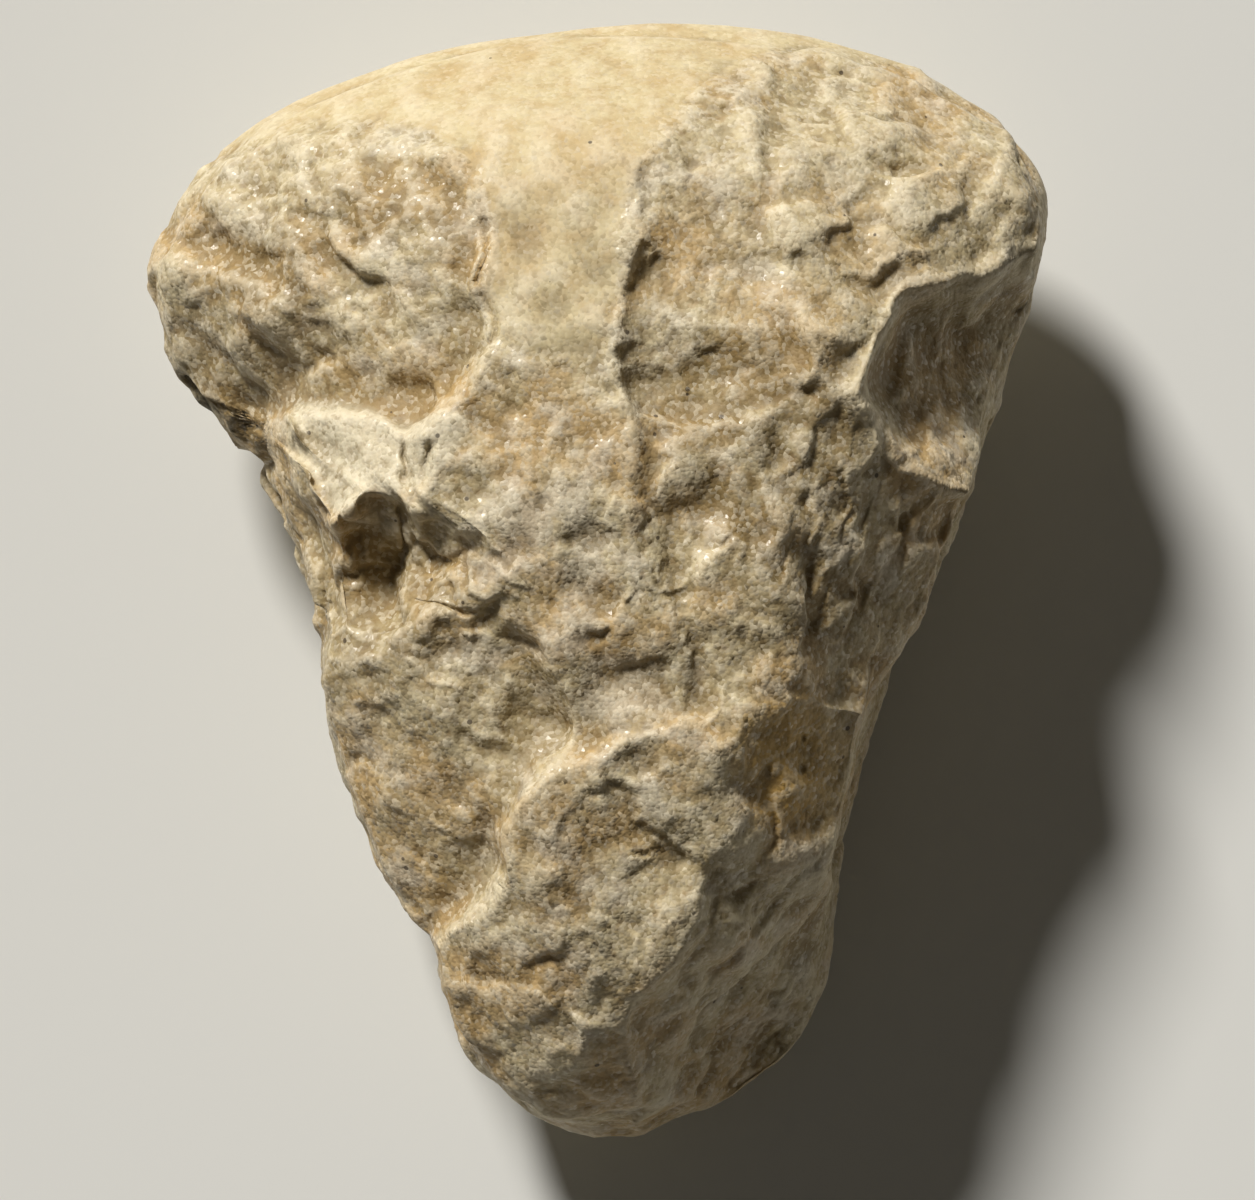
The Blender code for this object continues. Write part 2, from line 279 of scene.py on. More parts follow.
SCARS = [
    Scar("left shoulder",
         [(-87, 73), (-66, 79), (-50, 80), (-37, 78), (-27, 71), (-25, 66), (-26, 56),
          (-27, 49), (-25, 43), (-28, 35), (-33, 30), (-40, 25), (-44, 27), (-50, 28), (-60, 28),
          (-69, 30), (-73, 23), (-78, 13), (-86, 6), (-104, 8), (-106, 52), (-99, 67)],
         6.0, 3.0, 220, 0.8, 128),
    Scar("upper side of the spur",
         [(-74, 42), (-57, 40), (-47, 36), (-40, 29), (-34, 21), (-38, 15), (-43, 16),
          (-48, 16), (-53, 12), (-58, 10), (-63, 17), (-66, 25)], 2.6, 4.2, 105, 0.4, 40),
    Scar("left side of the spur",
         [(-71, 35), (-69, 30), (-66, 24), (-63, 18), (-58, 11), (-54, 4), (-53, -3), (-54, -8),
          (-60, -12), (-72, -12), (-82, 4), (-94, 27), (-80, 33)], 9.0, 8.0, 222, 1.6, 250),
    Scar("hollow under the spur",
         [(-60, 9), (-56, 12), (-48, 16), (-43, 15), (-33, 12), (-25, 6), (-19, 0), (-18, -7),
          (-28, -16), (-42, -19), (-54, -18), (-62, 1)], 7.0, 2.6, 120, 3.2, 300),
    Scar("left flank",
         [(-60, 8), (-48, 9), (-36, 7), (-24, 2), (-15, -6), (-8, -16), (-4, -26),
          (-8, -33), (-15, -35), (-21, -41), (-22, -46), (-17, -51), (-25, -58), (-31, -61),
          (-36, -67), (-46, -70), (-64, -58), (-75, -32), (-75, -14), (-66, -6)],
         3.5, 1.0, 320, 0.8, 95),
    Scar("lower right facet",
         [(21, -50), (36, -49), (49, -51), (63, -53), (68, -75), (55, -100), (23, -110),
          (9, -104), (9, -93), (5, -86), (7, -75), (15, -68), (23, -57)],
         13.0, 1.0, 300, 6.0, 118),
    Scar("right notch",
         [(58, 27), (57, 34), (59, 41), (63, 47), (68, 50), (78, 52), (86, 54), (97, 56),
          (114, 56), (114, 10), (92, 2), (75, 8), (66, 14), (60, 20)], 9.5, 6.6, 78, 1.7, 255),
    Scar("right shoulder",
         [(33, 87), (39, 92), (49, 94), (61, 92), (78, 85), (90, 75), (96, 66), (95, 57), (86, 54),
          (78, 50), (68, 46), (63, 42), (59, 36), (49, 33), (41, 44), (33, 66)],
         2.0, 0.7, 240, 1.6, 215),
    Scar("beside the tongue",
         [(9, 74), (8, 62), (5, 47), (2, 39), (5, 30), (20, 26), (38, 28), (48, 38),
          (46, 51), (40, 69), (33, 85), (21, 83)], 1.6, 0.3, 180, 0.8, 55),
    Scar("middle",
         [(9, 31), (21, 38), (36, 34), (37, 18), (26, 5), (21, 2), (18, -1), (15, -2), (9, 1),
          (7, 15)], 1.1, 0.7, 270, 1.8, 60),
    Scar("right flank",
         [(34, 37), (52, 36), (60, 30), (66, 24), (78, 20), (92, 11), (86, -12), (72, -28),
          (58, -26), (42, -16), (33, 2), (31, 20)], 3.2, 1.9, 335, 2.4, 170),
    Scar("smooth quartz patch",
         [(25, -22), (41, -16), (54, -18), (66, -32), (62, -46), (45, -48), (32, -44),
          (25, -35)], 1.3, 1.8, 0, 3.0, 120),
    Scar("above the tip lobe",
         [(-12, -33), (-8, -33), (1, -31), (6, -28), (14, -26), (21, -27), (29, -24), (22, -8),
          (4, -4), (-10, -9), (-18, -22)], 1.5, 1.0, 255, 1.0, 80),
]
FADING_ADDS_RUNS = 4.0
EDGE_SWAY_MM, EDGE_SWAY_LAYERS = [(1.1, 6), (0.5, 2.5)], (0.02, 0.05)
FACE_ROUGHNESS_MM = [(0.6, 11), (0.6, 4.5)]


def scar_depth(scar, x, y):
    """How deep one flake scar lies below the cobble's own surface.

    Its floor has its depth in the middle of the outline and deepens towards one compass
    direction by so many mm in every 10 mm. The edge run is how far inside the outline the stone
    has come most of the way down, and it is several times as long on the side that fades.
    """
    corners = to_metres(scar.outline)
    middle = corners.mean(axis=0)
    dx, dy = x - middle[0], y - middle[1]
    towards, fades = math.radians(scar.towards_deg), math.radians(scar.fades_deg)
    along = dx * math.cos(towards) + dy * math.sin(towards)
    floor = np.clip(scar.depth_mm * MM + scar.deepens_mm / 10 * along, 0, None)
    half = np.hypot(*(corners - middle).T).mean()
    soft = smoothstep((dx * math.cos(fades) + dy * math.sin(fades)) / half)
    run = scar.edge_run_mm * MM * (1 + FADING_ADDS_RUNS * soft)
    return floor * (1 - np.exp(-depth_inside(cut_corners(corners), x, y) / run))


def cut_depth(x, y):
    """How far the worked face lies below the cobble's own surface."""
    x, y = swayed(x, y, EDGE_SWAY_MM, EDGE_SWAY_LAYERS)
    return np.max([scar_depth(scar, x, y) for scar in SCARS], axis=0)


print(f"{len(SCARS)} flake scars: " + ", ".join(scar.name for scar in SCARS))

# %% [markdown]
# ## Ledges, cracks and pits
# The face has smaller marks that catch the light: ledges where a flake broke off short, hairline
# cracks from the blows, and pits where grains fell out. A ledge is a drop on one side of a line,
# a crack a groove along a line, and a pit an oval hollow. The cracks are drawn 0.3 mm wide and
# more, coarser than real ones, so that they show.


# %% Ledges, cracks and pits
class Line(NamedTuple):
    """A ledge or a crack. A ledge is lower to the right of its line."""

    places: list
    depth_mm: float
    width_mm: float
    fade_mm: float = 0.0


LEDGES = [
    Line([(3, -33), (5, -35), (9, -39), (10, -41), (15, -45), (17, -48), (22, -50)], 1.1, 1.1, 3.0),
    Line([(12, 4), (13, 1), (15, -1), (18, -1), (20, 2)], 0.7, 0.8, 1.5),
    Line([(-84, 66), (-75, 61), (-68, 56), (-62, 52), (-56, 46), (-52, 41)], 1.5, 1.9, 5.0),
    Line([(-88, 54), (-80, 48), (-75, 47), (-68, 41), (-62, 36)], 1.4, 2.0, 5.0),
    Line([(-62, 44), (-57, 42), (-51, 38), (-48, 35)], 0.9, 1.4, 3.0),
    Line([(-70, 70), (-62, 66), (-54, 66), (-46, 60)], 0.8, 1.5, 4.0),
    Line([(-30, -24), (-24, -28), (-17, -29), (-10, -33)], 0.8, 1.5, 4.0),
    Line([(-26, -14), (-20, -18), (-14, -22), (-7, -24)], 0.6, 1.5, 4.0),
    Line([(33, 25), (37, 20), (38, 12), (41, 8)], 0.8, 1.3, 3.0),
    Line([(19, -25), (17, -14), (12, 3), (7, 20), (5, 38)], 1.0, 2.2, 7.0),
]
CRACKS = [
    Line([(-25, 65), (-26, 54), (-25, 49), (-25, 43), (-27, 40), (-27, 35), (-31, 31)], 0.9, 0.3),
    Line([(-34, 25), (-38, 20), (-42, 15), (-44, 11), (-44, 6), (-45, 2)], 1.4, 0.34),
    Line([(-43, 27), (-44, 22), (-43, 18), (-40, 13)], 1.3, 0.32),
    Line([(-39, -4), (-35, -5), (-31, -5), (-27, -5)], 0.7, 0.18),
    Line([(5, -49), (8, -48), (12, -50)], 0.6, 0.25),
]


class Pit(NamedTuple):
    """An oval hollow, or a lump where its depth is negative."""

    across: float
    along: float
    half_wide_mm: float
    half_long_mm: float
    turn_deg: float
    depth_mm: float


PITS = [
    Pit(46, 33, 1.2, 1.0, 0, 0.7), Pit(3, 33, 1.1, 0.9, 0, 0.6), Pit(74, 77, 2.2, 1.9, 0, 0.8),
    Pit(44, -28, 0.6, 0.5, 0, 0.5), Pit(45, -34, 0.5, 0.5, 0, 0.4), Pit(-1, -37, 0.8, 0.7, 0, 0.5),
    Pit(46, 2, 1.3, 3.0, -10, 0.9), Pit(56, -2, 1.9, 1.5, 20, 0.8), Pit(65, 11, 1.9, 1.5, 30, 1.0),
    Pit(38, 22, 1.2, 2.4, 0, 0.6), Pit(5, -18, 5.2, 2.6, 10, 0.6), Pit(-12, -25, 5.4, 3.0, -40, 0.9),
    Pit(-15, -12, 3.4, 4.6, 30, 0.6), Pit(-35, 4, 3.6, 2.4, -30, 0.9), Pit(-47, 7, 2.6, 2.0, 0, 0.5),
    Pit(-56, 22, 2.3, 2.0, 0, 0.8), Pit(-21, 36, 1.9, 1.1, -20, 0.5), Pit(-24, -44, 1.8, 3.0, -10, 0.7),
    Pit(14, -85, 2.8, 1.8, 10, 0.9), Pit(34, -64, 3.8, 4.6, -20, -1.6), Pit(43, -74, 3.0, 3.4, 0, -1.2),
    Pit(23, -90, 3.2, 2.0, 0, 0.7), Pit(-53, -14, 5.0, 1.6, 12, -0.8), Pit(-53, 12, 2.0, 1.5, 25, -1.7),
    Pit(-40, 12, 1.5, 2.2, 15, -1.8), Pit(-32, 8, 2.4, 1.4, -35, -1.4),
]


print(f"{len(LEDGES)} ledges, {len(CRACKS)} cracks and {len(PITS)} pits")

# %% [markdown]
# ## How deep the marks cut
# Each mark becomes a depth at every point of the face, and the depths add up. The places are
# swayed by noise first. A ledge is deepest just beside its line, and a pit has no border at all.

# %% Depth of the marks
LINE_END_MM = 2.0
MARK_SWAY_MM, MARK_SWAY_LAYERS = [(1.0, 4), (0.5, 1.3)], (0.11, 0.17)
SAME_GAP = 1e-9
PIT_STEEPNESS = 1.5


def beside_line(line, x, y):
    """How far each point lies to the right of a line, and how much the line counts there.

    The distance is in metres and negative on the left. A line counts fully along its length and
    dies out over a short way at both its ends.
    """
    gap, cross, run = np.full(len(x), np.inf), np.zeros(len(x)), np.zeros(len(x))
    passed = 0.0
    points = to_metres(line)
    for start, end in zip(points[:-1], points[1:]):
        length = math.dist(start, end)
        ex, ey = (end - start) / length
        px, py = x - start[0], y - start[1]
        along = np.clip(px * ex + py * ey, 0, length)
        this_gap = np.hypot(px - along * ex, py - along * ey)
        this_cross = px * ey - py * ex
        tied = np.abs(this_gap - gap) < SAME_GAP
        nearer = np.where(tied, np.abs(this_cross) > np.abs(cross), this_gap < gap)
        gap = np.where(nearer, this_gap, gap)
        cross = np.where(nearer, this_cross, cross)
        run = np.where(nearer, passed + along, run)
        passed += length
    counts = smoothstep(run / (LINE_END_MM * MM)) * smoothstep((passed - run) / (LINE_END_MM * MM))
    return gap * np.sign(cross), counts


def mark_depth(x, y):
    """How deep the ledges, cracks and pits cut into the worked face."""
    x, y = swayed(x, y, MARK_SWAY_MM, MARK_SWAY_LAYERS)
    depth = np.zeros(len(x))
    for ledge in LEDGES:
        right, counts = beside_line(ledge.places, x, y)
        down = smoothstep(right / (ledge.width_mm * MM))
        fading = np.exp(-np.clip(right, 0, None) / (ledge.fade_mm * MM))
        depth += ledge.depth_mm * MM * counts * down * fading
    for crack in CRACKS:
        right, counts = beside_line(crack.places, x, y)
        depth += crack.depth_mm * MM * counts * np.exp(-((right / (crack.width_mm * MM)) ** 2))
    for pit in PITS:
        middle = to_metres([(pit.across, pit.along)])[0]
        turn = math.radians(pit.turn_deg)
        dx, dy = x - middle[0], y - middle[1]
        u = (dx * math.cos(turn) + dy * math.sin(turn)) / (pit.half_wide_mm * MM)
        v = (dy * math.cos(turn) - dx * math.sin(turn)) / (pit.half_long_mm * MM)
        depth += pit.depth_mm * MM * np.exp(-PIT_STEEPNESS * (u * u + v * v))
    return depth


deep = mark_depth(*to_metres([(across, -44) for across in range(-10, 30)]).T)
print(f"across the lower lobe the marks cut up to {deep.max() / MM:.1f} mm deep")

# %% [markdown]
# ## The skin
# A sphere of even triangles is a closed mesh without poles. Each of its points is given a
# direction round the stone and a share of the way out to the widest outline, and then a
# height: from the worked face and its walls on the upper part, from the cobble's round back on
# the lower part.

# %% The skin's shape
WALL_DENT_MM = 1.1
WALL_DENT_SPACING_MM = 9
WALL_DENT_FADES_MM = 4
RIM_CLEARANCE_MM = 1.5
WALL_CURVE = 0.6
BACK_MIDDLE_CURVE, BACK_EDGE_CURVE = 2.2, 0.6
FLAT_SPOT_DEPTH_MM = 0.7
SKIN_SUBDIVISIONS = 8
FACE_SHARE_OF_SPHERE_DEG = 130.0


def face_surface(angle, x, y):
    """Height of the worked face, as if it had no walls."""
    table = np.array(CREST_HEIGHT, float)
    crest = THICKNESS * np.interp(y / (LENGTH / 200), table[:, 0], table[:, 1])
    crest = crest - ACROSS_FALL_MM * MM * (x / (WIDTH / 2)) ** 2
    inside = inside_by(round_outline(FACE_EDGE), x, y) / (EDGE_FALL_REACH_MM * MM)
    fall = MM * read_round(EDGE_FALL_MM, angle) * (1 - np.clip(inside, 0, 1)) ** EDGE_FALL_CURVE
    rough = sum(size * MM * uneven(x, y, 0, spacing) for size, spacing in FACE_ROUGHNESS_MM)
    return crest - fall - cut_depth(x, y) + rough


def rim_height(angle):
    """Height of the widest outline, lower where a scar runs out over it."""
    reach = reach_towards(OUTLINE, angle)
    face = face_surface(angle, reach * np.cos(angle), reach * np.sin(angle))
    return np.minimum(THICKNESS * read_round(OUTLINE_HEIGHT, angle), face - RIM_CLEARANCE_MM * MM)


def face_height(angle, rim, x, y, left):
    """Height of the worked face and of its walls, which run from its edge down to the rim.

    Left is how far each point still is from the widest outline.
    """
    beyond = np.clip(-inside_by(round_outline(FACE_EDGE), x, y), 0, None)
    share = np.divide(left, beyond + left, out=np.zeros(len(x)), where=left > 0)
    return rim + (face_surface(angle, x, y) - mark_depth(x, y) - rim) * share**WALL_CURVE


def wall_dents(x, y, z, rim):
    """How far the side walls are dented in, between the face's edge and the widest outline."""
    on_wall = smoothstep(-inside_by(round_outline(FACE_EDGE), x, y) / MM)
    above_rim = smoothstep((z - rim) / (WALL_DENT_FADES_MM * MM))
    dents = 0.5 + uneven(x, y, z, WALL_DENT_SPACING_MM)
    return WALL_DENT_MM * MM * on_wall * above_rim * dents


def back_height(share, rim):
    """Height of the cobble's natural back."""
    return rim - (rim + FLAT_SPOT_DEPTH_MM * MM) * (1 - share**BACK_MIDDLE_CURVE) ** BACK_EDGE_CURVE


def shape_skin(directions):
    """Moves the points of a unit sphere onto the stone, and says how high its rim is there."""
    polar = np.degrees(np.arccos(np.clip(directions[:, 2], -1, 1)))
    angle = np.arctan2(directions[:, 1], directions[:, 0])
    front = polar < FACE_SHARE_OF_SPHERE_DEG
    t = np.where(
        front, polar / FACE_SHARE_OF_SPHERE_DEG, (180 - polar) / (180 - FACE_SHARE_OF_SPHERE_DEG)
    )
    share = np.sin(t * math.pi / 2)
    widest = reach_towards(OUTLINE, angle)
    reach = share * widest
    x, y = reach * np.cos(angle), reach * np.sin(angle)
    rim = rim_height(angle)
    z = np.where(front, face_height(angle, rim, x, y, widest - reach), back_height(share, rim))
    dent = wall_dents(x, y, z, rim)
    points = np.column_stack([x - dent * np.cos(angle), y - dent * np.sin(angle), z])
    return points, rim


def sphere_mesh():
    """The points and triangles of a unit sphere."""
    ball = bmesh.new()
    bmesh.ops.create_icosphere(ball, subdivisions=SKIN_SUBDIVISIONS, radius=1.0)
    points = np.array([v.co for v in ball.verts])
    triangles = np.array([[v.index for v in f.verts] for f in ball.faces])
    ball.free()
    return points, triangles


directions, triangles = sphere_mesh()
points, rim = shape_skin(directions)
print(f"the skin has {len(points)} points and {len(triangles)} triangles")

# %% [markdown]
# ## Where the cobble's own skin is left
# A cobble that rolled in a river has a smooth, yellowed skin, the cortex. The flakes took it off
# the worked face, except for a band round the butt and a tongue that hangs down from it. The
# other areas are patches of the broken stone that differ from the rest: the spur's clean facet, a
# smooth yellow patch of quartz, iron stain darkened further as painted shade, painted shade with
# some dirt at the bowl's lower left and at the spur's foot, and a frosted middle.

# %% Kinds of surface
CORTEX = [
    (-87, 73), (-79, 78), (-66, 79), (-50, 80), (-37, 78), (-27, 71), (-25, 65), (-26, 56),
    (-25, 49), (-25, 43), (-17, 39), (-8, 38), (2, 39), (5, 47), (8, 62), (10, 74), (21, 86),
    (33, 91), (45, 95), (61, 93), (78, 88), (92, 78), (99, 67), (100, 57), (110, 57), (110, 115),
    (-110, 115), (-110, 68),
]
SPUR_FACET = [
    (-69, 33), (-58, 33), (-49, 32), (-43, 28), (-34, 31), (-26, 30), (-29, 22), (-40, 15),
    (-48, 16), (-57, 10), (-62, 17), (-66, 25),
]
QUARTZ_PATCH = [
    (27, -22), (41, -16), (54, -18), (60, -30), (57, -44), (45, -50), (32, -46), (26, -34),
]
# Iron stain, darkened further as painted shade where the right flank turns from the light.
IRON_STAIN_AND_SHADE = [
    (8, 46), (30, 50), (52, 48), (62, 32), (68, 10), (62, -12), (48, -20), (32, -12), (20, 4),
    (12, 20), (6, 32),
]
# Painted shade with some dirt: the bowl's lower left is painted darker where shade falls on it.
BOWL_DIRT_AND_SHADE = [
    (-92, 60), (-76, 66), (-64, 75), (-46, 78), (-30, 74), (-24, 64), (-25, 50), (-34, 50),
    (-46, 58), (-58, 52), (-50, 42), (-46, 30), (-60, 29), (-76, 28), (-94, 30), (-102, 44),
]
# Painted shade: the wall and the hollow at the foot of the spur are painted darker.
FOOT_PAINTED_SHADE = [
    (-84, 22), (-66, 20), (-58, 10), (-46, 14), (-32, 10), (-22, 0), (-26, -12), (-40, -22),
    (-60, -26), (-74, -20), (-80, 0),
]
FROSTED = [
    (-38, 16), (-22, 26), (6, 22), (12, 4), (20, -20), (24, -40), (6, -46), (-8, -30), (-22, -8),
]
SCAR_OUTLINES = {scar.name: scar.outline for scar in SCARS}
CORTEX_BORDER_MM = 2.0
CORTEX_SWAY_MM = [(1.2, 5, 0.3), (0.6, 1.5, 0.4)]


def inside_area(places, x, y, soft_mm):
    """1 inside an area of the face, 0 outside it, with a soft border just inside it."""
    return smoothstep(depth_inside(cut_corners(to_metres(places)), x, y) / (soft_mm * MM))


def cortex_share(x, y, z, rim):
    """Where the cobble's skin is left: the butt, the tongue and the whole back."""
    sway = sum(
        sway_mm * MM * uneven(x, y, layer, spacing_mm) for sway_mm, spacing_mm, layer in CORTEX_SWAY_MM
    )
    on_face = inside_area(CORTEX, x + sway, y - sway, CORTEX_BORDER_MM)
    below_rim = smoothstep((rim - z + sway) / (CORTEX_BORDER_MM * MM))
    return np.maximum(on_face, below_rim)


print("the cortex keeps", f"{100 * np.mean(cortex_share(*points.T, rim)):.0f} % of the points")

# %% [markdown]
# ## The broken grain
# Quartzite breaks through its grains, not round them, so a break is hackly: small flat facets a
# few mm wide, each tilted its own way, with smaller ones on them. Scattered centres give the
# facets: a point takes the tilted plane of the centre nearest to it. On the flanks the facets run
# in streaks away from the blow. Soft noise below them makes the surface roll.


# %% The broken grain
class Hackle(NamedTuple):
    """How one part of the face broke. Streaks run one compass way, so many times as long as wide."""

    scar: str
    streaks_deg: float
    stretch: float
    tilt: float
    roll_mm: float


PLAIN_HACKLE = Hackle("", 0, 1.0, 0.17, 0.65)
HACKLES = [
    Hackle("left shoulder", -38, 2.2, 0.36, 1.1),
    Hackle("left side of the spur", -60, 1.6, 0.3, 0.8),
    Hackle("hollow under the spur", 60, 1.4, 0.34, 1.3),
    Hackle("left flank", -12, 1.7, 0.16, 0.6),
    Hackle("right flank", 84, 2.4, 0.32, 1.0),
    Hackle("lower right facet", 60, 1.4, 0.2, 0.9),
    Hackle("right shoulder", 20, 1.2, 0.26, 1.1),
]
HACKLE_BORDER_MM = 3.0
FACETS = [(4.5, 1.1), (1.8, 0.6)]
FACET_CRISPNESS = 14.0
LEAST_WEIGHT = 1e-12
CELL_MIXERS = (127.1, 311.7, 74.7)
SEED_MIXER, SCRAMBLER = 19.19, 43758.5453
ROLL_SPACING_MM = 8.0
WARP_MM, WARP_SPACING_MM = 1.2, 3.0
KNOB_SPACING_MM, KNOB_HEIGHT_MM = 0.8, 0.08


def share_of(cell, seed):
    """A number from 0 to 1 that is always the same for a cell of space."""
    mixed = np.sin(cell @ CELL_MIXERS + seed * SEED_MIXER) * SCRAMBLER
    return mixed - np.floor(mixed)


def facets(p, size_mm):
    """The height of small tilted facets, in metres for a tilt of one."""
    places = p / (size_mm * MM)
    home = np.floor(places)
    height, weights = np.zeros(len(p)), np.zeros(len(p))
    for step in np.ndindex(3, 3, 3):
        cell = home + np.array(step) - 1
        away = places - cell - np.column_stack([share_of(cell, seed) for seed in (1, 2, 3)])
        lean = np.column_stack([share_of(cell, seed) for seed in (4, 5, 6)]) - 0.5
        weight = np.exp(-FACET_CRISPNESS * np.sum(away**2, axis=1))
        height += weight * (np.sum(away * lean, axis=1) + 0.5 * (share_of(cell, 7) - 0.5))
        weights += weight
    return size_mm * MM * height / (weights + LEAST_WEIGHT)


def hackle_height(hackle, p):
    """How far one kind of break stands out of the even surface, in metres."""
    turn = math.radians(hackle.streaks_deg)
    x, y, z = p.T
    along, across = x * math.cos(turn) + y * math.sin(turn), y * math.cos(turn) - x * math.sin(turn)
    streaked = np.column_stack([along / hackle.stretch, across, z])
    rolling = [noise.fractal(place, 1.0, 2.0, 2) for place in streaked / (ROLL_SPACING_MM * MM)]
    tilted = sum(share * facets(streaked, size_mm) for size_mm, share in FACETS)
    return hackle.roll_mm * MM * np.array(rolling) + hackle.tilt * tilted


def grain_relief(p):
    """How far the broken grain stands out of the even surface, in metres."""
    x, y, z = p.T
    warp = np.column_stack([uneven(x, y, z + shift, WARP_SPACING_MM) for shift in (0.1, 0.2, 0.3)])
    warped = p + WARP_MM * MM * warp
    plain = hackle_height(PLAIN_HACKLE, warped)
    relief = plain.copy()
    for hackle in HACKLES:
        share = inside_area(SCAR_OUTLINES[hackle.scar], x, y, HACKLE_BORDER_MM)
        here = share > 0
        relief[here] += share[here] * (hackle_height(hackle, warped[here]) - plain[here])
    return relief + KNOB_HEIGHT_MM * MM * uneven(x, y, z, KNOB_SPACING_MM)


print("kinds of break: plain, " + ", ".join(hackle.scar for hackle in HACKLES))

# %% [markdown]
# ## Pushing the grain out of the skin
# The relief pushes the skin out and in along its own normals, so the walls get it as well as the
# face. Two things would fold it: normals that fan out at a sharp ridge, and triangles that a steep
# wall has stretched. So the normals are evened out, the points on steep walls are spread, and the
# relief is calmer where the triangles are still long, as it is on the cortex and smooth patches.

# %% Relief
CORTEX_RELIEF, SMOOTH_RELIEF = 0.12, 0.45
SPUR_SMOOTHNESS, SPUR_BORDER_MM = 1.3, 1.5
PATCH_SMOOTHNESS, PATCH_BORDER_MM = 0.6, 7.0
NORMAL_ROUNDS = 6
CLIFF_ROUNDS = 8
EVEN_EDGE_MM = 0.45
LEAST_CALM = 0.15


def gather(triangles, values):
    """The sum, at each point, of a value at its neighbours round it."""
    total = np.zeros_like(values)
    for i, j in ((0, 1), (1, 2), (2, 0)):
        for axis in range(values.shape[1]):
            total[:, axis] += np.bincount(triangles[:, i], values[triangles[:, j], axis], len(values))
    return total


def point_normals(points, triangles):
    """The normal of the skin at each point, evened out a little so that the relief can't fold."""
    a, b, c = (points[triangles[:, i]] for i in range(3))
    face = np.cross(b - a, c - a)
    normal = np.zeros_like(points)
    for i in range(3):
        for axis in range(3):
            normal[:, axis] += np.bincount(triangles[:, i], face[:, axis], len(points))
    for _ in range(NORMAL_ROUNDS):
        normal /= np.linalg.norm(normal, axis=1, keepdims=True)
        normal += gather(triangles, normal)
    return normal / np.linalg.norm(normal, axis=1, keepdims=True)


def edge_lengths(points, triangles):
    """How far each point is from its neighbours, on average."""
    total, count = np.zeros(len(points)), np.zeros(len(points))
    for i, j in ((0, 1), (1, 2), (2, 0)):
        away = points[triangles[:, i]] - points[triangles[:, j]]
        total += np.bincount(triangles[:, i], np.linalg.norm(away, axis=1), len(points))
        count += np.bincount(triangles[:, i], minlength=len(points))
    return total / count, count


def ease_cliffs(points, triangles):
    """Spreads the points more evenly where a steep wall has stretched the skin."""
    for _ in range(CLIFF_ROUNDS):
        lengths, count = edge_lengths(points, triangles)
        stretched = smoothstep((lengths / MM - EVEN_EDGE_MM) / EVEN_EDGE_MM)[:, None]
        points = points + stretched * (gather(triangles, points) / count[:, None] - points)
    return points, lengths


points, lengths = ease_cliffs(points, triangles)
calm = np.clip(2 * EVEN_EDGE_MM * MM / lengths, LEAST_CALM, 1)
cortex = cortex_share(*points.T, rim)
x, y = points.T[:2]
smoothness = np.maximum(
    SPUR_SMOOTHNESS * inside_area(SPUR_FACET, x, y, SPUR_BORDER_MM),
    PATCH_SMOOTHNESS * inside_area(QUARTZ_PATCH, x, y, PATCH_BORDER_MM),
)
amount = 1 + (CORTEX_RELIEF - 1) * cortex
amount *= calm * (1 + (SMOOTH_RELIEF - 1) * smoothness)
relief = amount * grain_relief(points)
points = points + point_normals(points, triangles) * relief[:, None]
print(f"the grain stands {relief.min() / MM:.2f} to {relief.max() / MM:.2f} mm off the surface")

# %% [markdown]
# ## The mesh
# The stone is fitted into the solid's own box and pressed flat where it lies. A Decimate modifier
# then thins the mesh where the skin is even, so the ridges and pits keep their triangles.

# %% The mesh
MOST_TRIANGLES = 192_000


def fit_in_box(points):
    """Brings the stone to the solid's own box, and presses its underside flat."""
    low, high = points.min(axis=0), points.max(axis=0)
    points = points - ((low + high)[0] / 2, (low + high)[1] / 2, 0)
    points = points * (WIDTH / (high - low)[0], LENGTH / (high - low)[1], THICKNESS / high[2])
    points[:, 2] = np.clip(points[:, 2], 0, None)
    return points


def make_stone(points, triangles):
    """The fine stone as one closed mesh."""
    mesh = bpy.data.meshes.new("flaked_stone")
    mesh.from_pydata(points.tolist(), [], triangles.tolist())
    stone = bpy.data.objects.new("flaked_stone", mesh)
    bpy.context.scene.collection.objects.link(stone)
    thin = stone.modifiers.new("fewer triangles", "DECIMATE")
    thin.ratio = MOST_TRIANGLES / len(triangles)
    depsgraph = bpy.context.evaluated_depsgraph_get()
    stone.data = bpy.data.meshes.new_from_object(stone.evaluated_get(depsgraph))
    stone.modifiers.clear()
    stone.data.polygons.foreach_set("use_smooth", [True] * len(stone.data.polygons))
    return stone


stone = make_stone(fit_in_box(points), triangles)
print(f"the stone has {len(stone.data.polygons)} triangles")

# %% [markdown]
# ## What the colours need to know
# Hollows are painted darker as shade, and high ridges paler as painted light. So every point of
# the mesh is given how hollow it is, by comparing it with the average of its neighbours at two sizes.
# The kinds of surface are stored beside it.

# %% Numbers stored on the mesh
FINE_ROUNDS, COARSE_ROUNDS = 12, 150
FINE_HOLLOW_MM, COARSE_HOLLOW_MM = 0.10, 0.5

# Name: how soft the area's border is in mm, and its outlines.
AREAS = {
    "spur": (0.8, [SPUR_FACET]),
    "quartz_patch": (5.0, [QUARTZ_PATCH]),
    "shoulder": (4.0, [SCAR_OUTLINES["right shoulder"]]),
    # Iron stain, partly painted shade.
    "iron_stain_and_shade": (6.0, [IRON_STAIN_AND_SHADE]),
    # Painted shade, with some dirt in the bowl.
    "painted_shade_and_dirt": (5.0, [BOWL_DIRT_AND_SHADE, FOOT_PAINTED_SHADE]),
    "frosted": (7.0, [FROSTED]),
}


